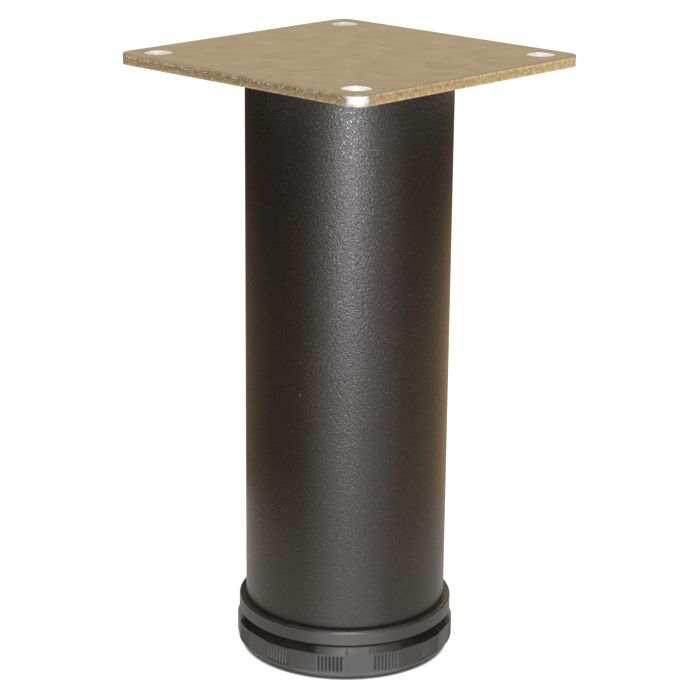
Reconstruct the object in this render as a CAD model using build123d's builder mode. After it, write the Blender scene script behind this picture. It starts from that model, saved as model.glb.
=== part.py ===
"""Cabinet leg: a round steel tube under a square screw plate, with a foot that screws in and out to level it.

The leg stands on the XY plane with its axis on Z and the edges of its plate along X and Y.
"""
import os
from math import cos, radians, sin

from build123d import *

# Screw plate, blanked from sheet steel, with its upper edges broken by the die
plate_side = 78.0
plate_thickness = 2.7
plate_corner_radius = 3.5
plate_edge_break = 0.35
screw_hole_inset = 7.0
screw_hole_diameter = 6.7
screw_hole_break = 0.25

# Leg tube, cut square from welded steel tube
tube_diameter = 50.0
tube_wall = 1.5
tube_length = 134.3
tube_end_break = 0.3

# Steel ring that is welded under the plate and pressed into the top of the tube
spigot_depth = 16.0
spigot_wall = 2.0
spigot_lead_in = 0.6

# Moulded plug in the lower end of the tube
flange_diameter = 53.4
flange_thickness = 3.7
flange_top_radius = 0.7
flange_bottom_break = 0.1
plug_wall = 2.2
plug_lead_in = 0.8
crush_rib_count = 8
crush_rib_width = 1.8
crush_rib_height = 0.6
plug_web_count = 4
plug_web_thickness = 1.8
plug_boss_wall = 2.4
plug_boss_lip = 0.8
nut_seat_height = 14.0

# Captive hexagon nut
nut_across_flats = 16.0
nut_height = 8.4
nut_corner_angle = 30.0

# Threaded spindle of the foot, turned with a round head
thread_diameter = 10.0
spindle_end_chamfer = 1.0
spindle_head_diameter = 20.0
spindle_head_height = 3.0
spindle_head_break = 0.4

# Moulded foot that is turned by hand
knob_diameter = 54.4
knob_height = 9.0
knob_shoulder_height = 2.1
knob_shoulder_width = 1.65
knob_bevel_height = 2.1
knob_bevel_width = 1.8
knob_rim_wall = 3.4
knob_top_wall = 2.8
knob_boss_wall = 3.0
knob_boss_floor = 1.6
knob_rib_count = 12
knob_rib_thickness = 1.6
knob_rib_recess = 0.8

# Grip round the foot: ribbed zones with flat ones between them
grip_zone_count = 12
grip_turn = 5.7
grip_flat_recess = 0.22
grooves_per_zone = 7
groove_pitch_angle = 2.0
groove_width = 0.66
groove_depth = 0.36
groove_end_margin = 0.4

# Fits, and the setting of the foot
press_clearance = 0.02
running_clearance = 0.05
spindle_hole_clearance = 0.4
foot_gap = 0.3
foot_travel = 15.0

# Levels, from the floor up
flange_bottom = knob_height + foot_gap
flange_top = flange_bottom + flange_thickness
tube_top = flange_top + tube_length
nut_seat = flange_bottom + nut_seat_height
nut_top = nut_seat + nut_height
plug_top = nut_top + plug_boss_lip
spindle_seat = knob_rib_recess + knob_boss_floor
spindle_top = nut_top + foot_travel

# Radii and spacings that one piece takes from another
screw_hole_spacing = plate_side - 2 * screw_hole_inset
tube_bore_radius = tube_diameter / 2 - tube_wall
press_radius = tube_bore_radius - press_clearance
plug_body_radius = press_radius - crush_rib_height
thread_radius = thread_diameter / 2
nut_pocket_radius = nut_across_flats / 2 + press_clearance
plug_boss_radius = nut_pocket_radius / cos(radians(30)) + plug_boss_wall
spindle_head_radius = spindle_head_diameter / 2
head_pocket_radius = spindle_head_radius + running_clearance
knob_boss_radius = head_pocket_radius + knob_boss_wall
knob_radius = knob_diameter / 2
knob_bottom_radius = knob_radius - knob_bevel_width
knob_rim_bore_radius = knob_radius - knob_rim_wall

os.makedirs("parts", exist_ok=True)

# Screw plate
with BuildPart() as top_plate:
    with BuildSketch(Plane.XY.offset(tube_top)):
        RectangleRounded(plate_side, plate_side, plate_corner_radius)
        with GridLocations(screw_hole_spacing, screw_hole_spacing, 2, 2):
            Circle(screw_hole_diameter / 2, mode=Mode.SUBTRACT)
    extrude(amount=plate_thickness)
    upper_face = top_plate.faces().sort_by(Axis.Z)[-1]
    chamfer(upper_face.outer_wire().edges(), plate_edge_break)
    upper_face = top_plate.faces().sort_by(Axis.Z)[-1]
    chamfer([wire.edges()[0] for wire in upper_face.inner_wires()], screw_hole_break)
top_plate.part.label = "top_plate"
export_step(top_plate.part, "parts/top_plate.step")

# Spigot ring, with its upper end against the plate and a lead-in at its lower end
with BuildPart() as plate_spigot:
    with BuildSketch(Plane.XY.offset(tube_top)):
        Circle(press_radius)
        Circle(press_radius - spigot_wall, mode=Mode.SUBTRACT)
    extrude(amount=-spigot_depth)
    chamfer(plate_spigot.faces().sort_by(Axis.Z)[0].outer_wire().edges(), spigot_lead_in)
plate_spigot.part.label = "plate_spigot"
export_step(plate_spigot.part, "parts/plate_spigot.step")

# Tube
with BuildPart() as leg_tube:
    with BuildSketch(Plane.XY.offset(flange_top)):
        Circle(tube_diameter / 2)
        Circle(tube_bore_radius, mode=Mode.SUBTRACT)
    extrude(amount=tube_length)
    outer_end_edges = leg_tube.edges().filter_by(GeomType.CIRCLE).group_by(SortBy.RADIUS)[-1]
    chamfer(outer_end_edges, tube_end_break)
leg_tube.part.label = "leg_tube"
export_step(leg_tube.part, "parts/leg_tube.step")

# Plug: the flange shows as a collar, and the ribbed cup above it grips the tube
with BuildPart() as tube_plug:
    with BuildSketch(Plane.XY.offset(flange_bottom)):
        Circle(flange_diameter / 2)
    extrude(amount=flange_thickness)
    flange_edges = tube_plug.edges().filter_by(GeomType.CIRCLE).sort_by(Axis.Z)
    fillet(flange_edges[-1], flange_top_radius)
    chamfer(flange_edges[0], flange_bottom_break)
    with BuildSketch(Plane.XY.offset(flange_top)):
        with PolarLocations(press_radius, crush_rib_count):
            Rectangle(2 * crush_rib_height + plug_wall, crush_rib_width)
        Circle(press_radius, mode=Mode.INTERSECT)
        Circle(plug_body_radius)
    extrude(amount=plug_top - flange_top)
    chamfer(tube_plug.faces().sort_by(Axis.Z)[-1].outer_wire().edges(), plug_lead_in)
    with BuildSketch(Plane.XY.offset(flange_top)):
        Circle(plug_body_radius - plug_wall)
        Circle(plug_boss_radius, mode=Mode.SUBTRACT)
        with PolarLocations(plug_body_radius / 2, plug_web_count):
            Rectangle(plug_body_radius, plug_web_thickness, mode=Mode.SUBTRACT)
    extrude(amount=plug_top - flange_top, mode=Mode.SUBTRACT)
    with BuildSketch(Plane.XY.offset(nut_seat)):
        RegularPolygon(nut_pocket_radius, 6, major_radius=False)
    extrude(amount=plug_top - nut_seat, mode=Mode.SUBTRACT)
    with Locations((0, 0, nut_seat)):
        Hole(thread_radius + spindle_hole_clearance, depth=nut_seat_height)
tube_plug.part.label = "tube_plug"
export_step(tube_plug.part, "parts/tube_plug.step")

# Nut, with the corners of both faces turned off
nut_corner_radius = nut_across_flats / 2 / cos(radians(30))
nut_corner_drop = (nut_corner_radius - nut_across_flats / 2) * sin(radians(nut_corner_angle))
with BuildPart() as captive_nut:
    with BuildSketch(Plane.XY.offset(nut_seat)):
        RegularPolygon(nut_across_flats / 2, 6, major_radius=False)
        Circle(thread_radius + running_clearance, mode=Mode.SUBTRACT)
    extrude(amount=nut_height)
    with BuildSketch(Plane.XZ):
        with BuildLine():
            Polyline(
                (0, nut_seat),
                (nut_across_flats / 2, nut_seat),
                (nut_corner_radius, nut_seat + nut_corner_drop),
                (nut_corner_radius, nut_top - nut_corner_drop),
                (nut_across_flats / 2, nut_top),
                (0, nut_top),
                close=True,
            )
        make_face()
    revolve(axis=Axis.Z, mode=Mode.INTERSECT)
captive_nut.part.label = "captive_nut"
export_step(captive_nut.part, "parts/captive_nut.step")

# Spindle: its head is moulded into the foot and its shank screws into the nut
with BuildPart() as spindle:
    with BuildSketch(Plane.XY.offset(spindle_seat)):
        Circle(spindle_head_radius)
    extrude(amount=spindle_head_height)
    chamfer(spindle.edges().filter_by(GeomType.CIRCLE), spindle_head_break)
    with BuildSketch(Plane.XY.offset(spindle_seat)):
        Circle(thread_radius)
    extrude(amount=spindle_top - spindle_seat)
    chamfer(spindle.edges().sort_by(Axis.Z)[-1], spindle_end_chamfer)
spindle.part.label = "spindle"
export_step(spindle.part, "parts/spindle.step")

# Foot: a shell with a boss round the spindle's head and radial ribs under its top
zone_angle = 360 / grip_zone_count
flat_radius = knob_radius - grip_flat_recess
flat_width = 2 * knob_radius * sin(radians(zone_angle / 4))
groove_low = knob_bevel_height + groove_end_margin
shoulder_low = knob_height - knob_shoulder_height
groove_high = shoulder_low - groove_end_margin
with BuildPart() as foot_knob:
    with BuildSketch(Plane.XZ):
        with BuildLine():
            Polyline(
                (0, 0),
                (knob_bottom_radius, 0),
                (knob_radius, knob_bevel_height),
                (knob_radius, shoulder_low),
                (knob_radius - knob_shoulder_width, knob_height),
                (0, knob_height),
                close=True,
            )
        make_face()
    revolve(axis=Axis.Z)
    with BuildSketch():
        Circle(knob_rim_bore_radius)
    extrude(amount=knob_rib_recess, mode=Mode.SUBTRACT)
    with BuildSketch():
        Circle(knob_rim_bore_radius)
        Circle(knob_boss_radius, mode=Mode.SUBTRACT)
        with PolarLocations(knob_radius / 2, knob_rib_count, start_angle=grip_turn):
            Rectangle(knob_radius, knob_rib_thickness, mode=Mode.SUBTRACT)
    extrude(amount=knob_height - knob_top_wall, mode=Mode.SUBTRACT)
    with BuildSketch(Plane.XY.offset(spindle_seat)):
        Circle(head_pocket_radius)
    extrude(amount=spindle_head_height + running_clearance, mode=Mode.SUBTRACT)
    with BuildSketch(Plane.XY.offset(spindle_seat)):
        Circle(thread_radius + running_clearance)
    extrude(amount=knob_height - spindle_seat, mode=Mode.SUBTRACT)
    with BuildSketch():
        flat_start = grip_turn + zone_angle / 2
        with PolarLocations(flat_radius + grip_flat_recess, grip_zone_count, start_angle=flat_start):
            Rectangle(2 * grip_flat_recess, flat_width)
    extrude(amount=knob_height, mode=Mode.SUBTRACT)
    with BuildSketch(Plane.XY.offset(groove_low)):
        for groove in range(grooves_per_zone):
            groove_angle = grip_turn + (groove - (grooves_per_zone - 1) / 2) * groove_pitch_angle
            with PolarLocations(knob_radius, grip_zone_count, start_angle=groove_angle):
                Polygon(
                    (-groove_depth, 0),
                    (groove_depth, -groove_width),
                    (groove_depth, groove_width),
                    align=None,
                )
    extrude(amount=groove_high - groove_low, mode=Mode.SUBTRACT)
foot_knob.part.label = "foot_knob"
export_step(foot_knob.part, "parts/foot_knob.step")
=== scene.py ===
"""Cabinet leg: a black powder-coated tube under a yellow-passivated screw plate, on a foot that screws out."""
from functools import reduce
from math import cos, pi, radians, sin, tan

import bmesh
import bpy
from mathutils import Matrix, Vector, noise


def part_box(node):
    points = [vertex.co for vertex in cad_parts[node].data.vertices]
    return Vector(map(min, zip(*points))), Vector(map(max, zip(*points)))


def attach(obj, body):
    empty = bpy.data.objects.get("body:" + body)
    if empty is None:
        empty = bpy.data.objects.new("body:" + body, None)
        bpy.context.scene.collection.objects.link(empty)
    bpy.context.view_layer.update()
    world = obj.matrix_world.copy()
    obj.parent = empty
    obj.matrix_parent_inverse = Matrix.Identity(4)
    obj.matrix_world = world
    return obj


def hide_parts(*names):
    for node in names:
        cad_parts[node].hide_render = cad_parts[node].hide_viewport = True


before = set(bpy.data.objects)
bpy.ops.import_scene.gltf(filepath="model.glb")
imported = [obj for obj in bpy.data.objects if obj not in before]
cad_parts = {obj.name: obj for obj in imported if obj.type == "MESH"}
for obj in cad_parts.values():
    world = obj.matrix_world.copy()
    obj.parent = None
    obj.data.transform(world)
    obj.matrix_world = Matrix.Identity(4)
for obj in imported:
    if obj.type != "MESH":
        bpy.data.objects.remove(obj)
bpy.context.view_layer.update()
mm = 0.001

# Screw plate
# A square blank of sheet steel with four punched holes, zinc plated and yellow passivated. The die has drawn its
# upper edges round; below them its sides are burnished first and then torn. Four screws hold it under a cabinet.
plate_low, plate_high = (corner[2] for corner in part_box("top_plate"))
plate_half = 39.0 * mm
plate_corner = 3.5 * mm
plate_margin = 1.2 * mm
plate_roll = 0.42 * mm
plate_roll_drop = 0.36 * mm
burnished_height = 0.55 * mm
torn_grain = 0.55 * mm
bottom_break = 0.07 * mm
hole_spacing = 64.0 * mm
hole_radius = 3.35 * mm
hole_roll = 0.25 * mm
hole_straight = 1.3 * mm
hole_breakout = 0.09 * mm
hole_breakout_height = 0.1 * mm
hole_facets = 48

white = (1.0, 1.0, 1.0, 1.0)
yellow_edge = (0.86, 0.77, 0.60, 1)
pale_fleck = (1.0, 0.93, 0.78, 1.0)
scratched_zinc = (0.8, 0.76, 0.66, 1.0)


def put(tree, kind, inputs=None, **settings):
    """Adds a node to a tree; an input is a value, or another node's socket to link from."""
    made = tree.nodes.new(kind)
    for name, value in settings.items():
        setattr(made, name, value)
    for socket, value in (inputs or {}).items():
        if isinstance(value, bpy.types.NodeSocket):
            tree.links.new(value, made.inputs[socket])
        else:
            made.inputs[socket].default_value = value
    return made


def sums(tree, operation, *values, clamp=False):
    """Adds a Math node and returns its result."""
    return put(tree, "ShaderNodeMath", dict(enumerate(values)), operation=operation, use_clamp=clamp).outputs[0]


def product(tree, *values):
    """Multiplies values together."""
    return reduce(lambda first, second: sums(tree, "MULTIPLY", first, second), values)


def total(tree, *values):
    """Adds values together."""
    return reduce(lambda first, second: sums(tree, "ADD", first, second), values)


def less(tree, first, second):
    """Takes the second value from the first."""
    return sums(tree, "SUBTRACT", first, second)


def size_of(tree, value):
    """Drops a value's sign."""
    return sums(tree, "ABSOLUTE", value)


def ramped(tree, value, start, end, low=0.0, high=1.0, kind="SMOOTHSTEP"):
    """Adds a Map Range node and returns its result."""
    inputs = {0: value, 1: start, 2: end, 3: low, 4: high}
    return put(tree, "ShaderNodeMapRange", inputs, interpolation_type=kind, clamp=True).outputs[0]


def blended(tree, share, first, second, mode="MIX"):
    """Adds a colour Mix node and returns its result."""
    inputs = {0: share, 6: first, 7: second}
    return put(tree, "ShaderNodeMix", inputs, data_type="RGBA", blend_type=mode).outputs[2]


def grain(tree, place, scale, detail=2.0, rough=0.5, distortion=0.0):
    """Adds a Noise texture and returns its value."""
    inputs = {"Vector": place, "Scale": scale, "Detail": detail, "Roughness": rough, "Distortion": distortion}
    return put(tree, "ShaderNodeTexNoise", inputs).outputs["Fac"]


def object_place(tree):
    """Adds a Texture Coordinate node and returns the place on the piece."""
    return put(tree, "ShaderNodeTexCoord").outputs["Object"]


def split(tree, vector):
    """Adds a Separate XYZ node and returns the coordinates."""
    return put(tree, "ShaderNodeSeparateXYZ", {0: vector}).outputs


def new_group(name, kind, sockets):
    """Starts a node group; a socket is (name, IN or OUT, type, value)."""
    tree = bpy.data.node_groups.new(name, kind)
    for label, way, sort, value in sockets:
        socket = tree.interface.new_socket(label, in_out=way + "PUT", socket_type="NodeSocket" + sort)
        if value is not None:
            socket.default_value = value
    return tree, tree.nodes.new("NodeGroupInput").outputs, tree.nodes.new("NodeGroupOutput").inputs


def new_material(name, **constants):
    """Starts a material; the constants are set on the shader's own sockets."""
    material = bpy.data.materials.new(name)
    material.use_nodes = True
    shader = material.node_tree.nodes["Principled BSDF"]
    for socket, value in constants.items():
        shader.inputs[socket.replace("_", " ")].default_value = value
    return material, material.node_tree, shader.inputs


def bumped(tree, shader, height, strength, depth):
    """Lets a height stand out of a material's surface."""
    bump = put(tree, "ShaderNodeBump", {"Strength": strength, "Distance": depth, "Height": height})
    tree.links.new(bump.outputs["Normal"], shader["Normal"])


def dressed(tree, shader, group, values, strength, depth):
    """Places a skin group in a material: its colour, its roughness, and its height as bump."""
    skin = put(tree, "ShaderNodeGroup", values, node_tree=group).outputs
    tree.links.new(skin["Color"], shader["Base Color"])
    tree.links.new(skin["Roughness"], shader["Roughness"])
    bumped(tree, shader, skin["Height"], strength, depth)


skin_outputs = (
    ("Color", "OUT", "Color", None),
    ("Roughness", "OUT", "Float", None),
    ("Height", "OUT", "Float", None),
)
plating, plating_in, plating_out = new_group("zinc_plating", "ShaderNodeTree", (
    ("Tint", "IN", "Color", None),
    ("Bloom", "IN", "Color", None),
    ("Cloud Size", "IN", "Float", 0.012),
    ("Base Roughness", "IN", "Float", 0.4),
    ("Scratches", "IN", "Float", 0.5),
    *skin_outputs,
))
place = object_place(plating)
cloud_scale = sums(plating, "DIVIDE", 1.0, plating_in["Cloud Size"])
cloud = ramped(plating, grain(plating, place, cloud_scale, detail=3.0, rough=0.55, distortion=0.6), 0.34, 0.66)
fleck_scale = product(plating, cloud_scale, 9.0)
fleck = ramped(plating, grain(plating, place, fleck_scale, detail=3.0, rough=0.6), 0.3, 0.7)
matt_grain = grain(plating, place, scale=5200.0, rough=0.6)
swirl = grain(plating, place, scale=85.0, detail=1.0, rough=0.4, distortion=1.4)
swirl_line = ramped(plating, size_of(plating, less(plating, swirl, 0.5)), 0.0, 0.006, 1.0, 0.0)
swirl_part = ramped(plating, grain(plating, place, scale=140.0, detail=1.0), 0.52, 0.62)
scratch = product(plating, swirl_line, swirl_part, plating_in["Scratches"])
tinted = blended(plating, cloud, plating_in["Tint"], plating_in["Bloom"])
flecked = blended(plating, product(plating, fleck, 0.15), tinted, pale_fleck, "SOFT_LIGHT")
scratched = blended(plating, product(plating, scratch, 0.4), flecked, scratched_zinc)
plating.links.new(scratched, plating_out["Color"])
cloud_rough = ramped(plating, cloud, 0.0, 1.0, -0.025, 0.025, "LINEAR")
grain_rough = ramped(plating, matt_grain, 0.3, 0.7, -0.04, 0.04, "LINEAR")
plating_rough = total(plating, plating_in["Base Roughness"], total(plating, cloud_rough, grain_rough))
plating.links.new(less(plating, plating_rough, product(plating, scratch, 0.12)), plating_out["Roughness"])
plating.links.new(less(plating, matt_grain, product(plating, scratch, 0.5)), plating_out["Height"])


def plated(name, tint, bloom, edge_tint, cloud_size, roughness, scratches, grain_depth):
    """Material of plated steel; the edge tint is what it shows at a glancing angle."""
    material, tree, shader = new_material(name, Metallic=1.0, Specular_Tint=edge_tint)
    dressed(tree, shader, plating, {
        "Tint": tint, "Bloom": bloom, "Cloud Size": cloud_size, "Base Roughness": roughness, "Scratches": scratches,
    }, strength=0.5, depth=grain_depth)
    return material


yellow_zinc = plated(
    "yellow_zinc", tint=(0.362, 0.292, 0.192, 1), bloom=(0.334, 0.268, 0.174, 1), edge_tint=yellow_edge,
    cloud_size=6 * mm, roughness=0.40, scratches=0.5, grain_depth=0.01 * mm,
)
# the walls of the punched holes are bare zinc, painted near white as a highlight, brighter than zinc's own colour
punched_zinc_painted_highlight = plated(
    "punched_zinc_painted_highlight", tint=(0.98, 0.975, 0.97, 1), bloom=(0.93, 0.925, 0.92, 1), edge_tint=white,
    cloud_size=2 * mm, roughness=0.62, scratches=0.2, grain_depth=0.01 * mm,
)

# the sheared side: a burnished band with drawn streaks, a ragged row of painted glints where it tore, and a speckled
# torn band with painted glints of its own. Two sides are cut off and two are slit; the slit ones are painted lighter,
# standing in for the light that falls on the +X side, and get fewer painted glints. Each colour is given for both.
# The front corner is painted with a bright highlight that is fringed with grey.
burnished_darks = (0.42, 0.32, 0.195, 1), (0.66, 0.52, 0.32, 1)
burnished_lights = (0.70, 0.585, 0.405, 1), (0.95, 0.80, 0.56, 1)
torn_darks = (0.40, 0.295, 0.168, 1), (0.55, 0.40, 0.20, 1)
torn_lights = (0.575, 0.44, 0.255, 1), (0.84, 0.66, 0.40, 1)
painted_torn_glint, painted_tear_glint = (0.80, 0.67, 0.46, 1), (1.0, 0.97, 0.90, 1)
highlight_dark, highlight_light, highlight_fringe_grey = (0.94, 0.94, 0.97, 1), white, (0.33, 0.33, 0.35, 1)
tear_line = plate_high - plate_roll_drop - burnished_height
tear_waver, tear_softness = 0.22 * mm, 0.15 * mm
glint_row_core, glint_row_edge = 0.10 * mm, 0.28 * mm
highlight_start = plate_half - plate_corner - 1.3 * mm
highlight_width, highlight_waver = 1.9 * mm, 0.5 * mm
highlight_faint, highlight_full = plate_low + 0.15 * mm, plate_low + 0.85 * mm

sheared_zinc, side_tree, side_shader = new_material("sheared_zinc", Metallic=1.0, Specular_Tint=yellow_edge)
place = object_place(side_tree)
side_spot = split(side_tree, place)
ragged = ramped(side_tree, grain(side_tree, place, scale=900.0), 0.3, 0.7, -tear_waver, tear_waver, "LINEAR")
ragged_height = total(side_tree, side_spot["Z"], ragged)
torn = ramped(side_tree, ragged_height, tear_line - tear_softness, tear_line + tear_softness, 1.0, 0.0)
drawn_place = put(side_tree, "ShaderNodeMapping", {"Vector": place, "Scale": (1.0, 1.0, 0.12)}).outputs["Vector"]
streak = ramped(side_tree, grain(side_tree, drawn_place, scale=1700.0, rough=0.6), 0.35, 0.68)
speckle = ramped(side_tree, grain(side_tree, place, scale=1500.0, detail=3.0, rough=0.65), 0.36, 0.66)
painted_glint = ramped(side_tree, grain(side_tree, place, scale=2300.0, detail=1.0), 0.6, 0.68)
along_x, along_y = (size_of(side_tree, side_spot[axis]) for axis in "XY")
# the slit sides, along X, are painted lighter, as the light that falls on the +X side, and get fewer painted glints
slit_painted_lighter = sums(side_tree, "GREATER_THAN", along_x, along_y)


def side_blend(share, darks, lights):
    """Blends a dark and a light colour of the sheared sides, taking the painted-lighter pair on the slit ones."""
    dark, light = (blended(side_tree, slit_painted_lighter, *colors) for colors in (darks, lights))
    return blended(side_tree, share, dark, light)


burnished_color = side_blend(streak, burnished_darks, burnished_lights)
torn_color = side_blend(speckle, torn_darks, torn_lights)
# the torn band gets lighter flecks mixed in: painted glints
torn_with_painted_glints = blended(side_tree, product(side_tree, painted_glint, 0.7), torn_color, painted_torn_glint)
side_color = blended(side_tree, torn, burnished_color, torn_with_painted_glints)
# a ragged row of near-white painted glints along the tear line, fewer on the slit sides
from_tear = size_of(side_tree, less(side_tree, ragged_height, tear_line))
painted_glint_row = ramped(side_tree, from_tear, glint_row_core, glint_row_edge, 1.0, 0.0)
painted_glint_spot = ramped(side_tree, grain(side_tree, place, scale=1250.0, detail=1.0), 0.50, 0.58)
painted_glint_share = ramped(side_tree, slit_painted_lighter, 0.0, 1.0, 0.85, 0.12, "LINEAR")
painted_tear_glint_share = product(side_tree, painted_glint_row, painted_glint_spot, painted_glint_share)
side_with_painted_glints = blended(side_tree, painted_tear_glint_share, side_color, painted_tear_glint)
# the front corner is painted with a bright highlight, fringed with grey where it fades, and is a little rougher there
highlight_grain = grain(side_tree, place, scale=1100.0, rough=0.6)
highlight_edge = ramped(side_tree, highlight_grain, 0.3, 0.7, -highlight_waver, highlight_waver, "LINEAR")
corner_depth = total(side_tree, sums(side_tree, "MINIMUM", along_x, along_y), highlight_edge)
front_way = less(side_tree, side_spot["X"], side_spot["Y"])
front_corner = ramped(side_tree, front_way, 1.5 * plate_half, 1.7 * plate_half)
painted_corner_highlight = product(side_tree, front_corner, ramped(side_tree, corner_depth, highlight_start, highlight_start + highlight_width))
highlight_low = ramped(side_tree, ragged_height, highlight_faint, highlight_full, 0.3, 1.0)
highlight_fringe = product(side_tree, painted_corner_highlight, less(side_tree, 1.0, painted_corner_highlight), 2.0)
highlight_color = blended(side_tree, streak, highlight_dark, highlight_light)
corner_highlight_color = blended(side_tree, product(side_tree, painted_corner_highlight, highlight_low), side_with_painted_glints, highlight_color)
side_tree.links.new(blended(side_tree, highlight_fringe, corner_highlight_color, highlight_fringe_grey), side_shader["Base Color"])
cut_rough = ramped(side_tree, torn, 0.0, 1.0, 0.36, 0.38, "LINEAR")
side_tree.links.new(total(side_tree, cut_rough, product(side_tree, painted_corner_highlight, 0.12)), side_shader["Roughness"])
side_grit = product(side_tree, speckle, total(side_tree, torn, 0.15))
bumped(side_tree, side_shader, side_grit, strength=0.5, depth=0.03 * mm)


def quarter_angles(count):
    """Angles that divide a quarter turn evenly, with both its ends."""
    return [step / (count - 1) * pi / 2 for step in range(count)]


def full_turn(count):
    """Angles that divide a turn evenly."""
    return [step / count * 2 * pi for step in range(count)]


def plate_ring(inset, height, waver=0.0):
    """Points round the plate, a distance inside its outline; the waver is the depth of the torn grain."""
    corner_points, side_points = 15, 150
    middle = Vector((plate_half - plate_corner, plate_half - plate_corner, height))
    radius = plate_corner - inset
    arc = [middle + radius * Vector((cos(angle), sin(angle), 0)) for angle in quarter_angles(corner_points)]
    start = Vector((arc[0].x, -arc[0].y, height))
    straight = [start.lerp(arc[0], (step + 0.5) / side_points) for step in range(side_points)]
    points = []
    for quarter in range(4):
        turn = Matrix.Rotation(quarter * pi / 2, 3, "Z")
        points += [turn @ point for point in straight + arc]
    if waver:
        for point in points:
            depth = waver * (0.5 + 0.5 * noise.noise(point / torn_grain))
            point.xy = point.xy * (1 - depth / point.xy.length)
    return points


def hole_ring(middle, radius, height):
    """Points round a screw hole."""
    return [middle + Vector((radius * cos(angle), radius * sin(angle), height)) for angle in full_turn(hole_facets)]


def skinned(bm, rings, slots=None, joined=False):
    """Adds rings of points to a mesh and the faces between them; a ring of one point closes a pole."""
    rows = [[bm.verts.new(point) for point in ring] for ring in rings]
    pairs = list(zip(rows, rows[1:]))
    if joined:
        pairs.append((rows[-1], rows[0]))
    for pair, (first, second) in enumerate(pairs):
        for step in range(max(len(first), len(second))):
            corners = [first[step % len(first)], first[(step + 1) % len(first)]]
            corners += [second[(step + 1) % len(second)], second[step % len(second)]]
            face = bm.faces.new(list(dict.fromkeys(corners)))
            face.material_index = slots[pair] if slots else 0
    return rows


def row_edges(bm, row):
    """The edges along one ring."""
    return [bm.edges.get((row[step - 1], row[step])) for step in range(len(row))]


def finished(bm, name, materials, sharp=35.0, recalculate=True):
    """Turns the faces of a mesh outwards and makes it an object at the origin."""
    if recalculate:
        bmesh.ops.recalc_face_normals(bm, faces=bm.faces)
    mesh = bpy.data.meshes.new(name)
    bm.to_mesh(mesh)
    bm.free()
    mesh.shade_smooth()
    mesh.set_sharp_from_angle(angle=radians(sharp))
    for material in materials:
        mesh.materials.append(material)
    piece = bpy.data.objects.new(name, mesh)
    bpy.context.scene.collection.objects.link(piece)
    return piece


# rows of the sheared side as (drop below the top, inset, depth of the torn grain), in millimetres
side_rows = (
    (0.7, 0.0, 0.01), (1.0, 0.02, 0.05), (1.3, 0.03, 0.07), (1.6, 0.03, 0.07), (1.9, 0.03, 0.07), (2.2, 0.03, 0.07),
    (2.5, 0.02, 0.05), (2.64, 0.0, 0.02),
)
face_slot, side_slot, hole_slot = range(3)
roll_rows, hole_roll_rows = 8, 6

bm = bmesh.new()
rings = [plate_ring(plate_margin, plate_high)]
for angle in quarter_angles(roll_rows):
    rings.append(plate_ring(plate_roll * (1 - sin(angle)), plate_high - plate_roll_drop * (1 - cos(angle))))
for drop, inset, waver in side_rows:
    rings.append(plate_ring(inset * mm, plate_high - drop * mm, waver * mm))
rings += [plate_ring(bottom_break, plate_low), plate_ring(plate_margin, plate_low)]
rows = skinned(bm, rings, [face_slot] * roll_rows + [side_slot] * (len(side_rows) + 1) + [face_slot])
top_edges, bottom_edges = row_edges(bm, rows[0]), row_edges(bm, rows[-1])

hole_profile = [(2.2 * hole_roll, plate_high)]
for angle in quarter_angles(hole_roll_rows):
    hole_profile.append((hole_roll * (1 - sin(angle)), plate_high - hole_roll * (1 - cos(angle))))
hole_profile += [
    (0.0, plate_high - hole_straight),
    (hole_breakout, plate_low + hole_breakout_height),
    (1.5 * hole_breakout, plate_low),
    (5 * hole_breakout, plate_low),
]
hole_slots = [face_slot] * (hole_roll_rows - 1) + [hole_slot] * 4 + [face_slot]
for side_x in (-1, 1):
    for side_y in (-1, 1):
        middle = Vector((side_x * hole_spacing / 2, side_y * hole_spacing / 2, 0))
        rings = [hole_ring(middle, hole_radius + widening, height) for widening, height in hole_profile]
        rows = skinned(bm, rings, hole_slots)
        top_edges += row_edges(bm, rows[0])
        bottom_edges += row_edges(bm, rows[-1])
bmesh.ops.triangle_fill(bm, edges=top_edges, use_beauty=True, normal=(0, 0, 1))
bmesh.ops.triangle_fill(bm, edges=bottom_edges, use_beauty=True, normal=(0, 0, -1))
screw_plate = finished(bm, "screw_plate", (yellow_zinc, sheared_zinc, punched_zinc_painted_highlight))
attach(screw_plate, "leg")
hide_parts("top_plate")

# Spigot ring
# A short length of steel tube welded under the plate and plated with it. The leg tube is pressed over it, which hides
# it, so it keeps its solid and takes the plate's finish, a little duller.
spigot_zinc = plated(
    "spigot_zinc", tint=(0.34, 0.265, 0.16, 1), bloom=(0.28, 0.215, 0.125, 1), edge_tint=yellow_edge,
    cloud_size=7 * mm, roughness=0.5, scratches=0.3, grain_depth=0.02 * mm,
)
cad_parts["plate_spigot"].material_slots[0].material = spigot_zinc

# Leg tube
# Welded steel tube, cut square, its ends deburred, with a black powder coat that has set to shallow pebbles with fine
# glossy grit and a few pale nibs. It is pressed over the spigot ring until it meets the plate, and is dull under it.
tube_low, tube_high = (corner[2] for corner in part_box("leg_tube"))
tube_radius = 25.0 * mm
tube_bore = 23.5 * mm
tube_facets = 256
touching = 1e-6
tube_end_rounding, tube_bore_rounding = 0.3 * mm, 0.15 * mm
pebble_size, pebble_slope = 0.55 * mm, 0.075
grit_size = 0.56 * mm
nibs_per_metre = 260.0
dull_start, dull_end = tube_high - 1.7 * mm, tube_high - 0.7 * mm
coat_dark, coat_light = (0.0135, 0.0115, 0.0100, 1), (0.0160, 0.0132, 0.0110, 1)
nib_grey = (0.13, 0.125, 0.115, 1)


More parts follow.
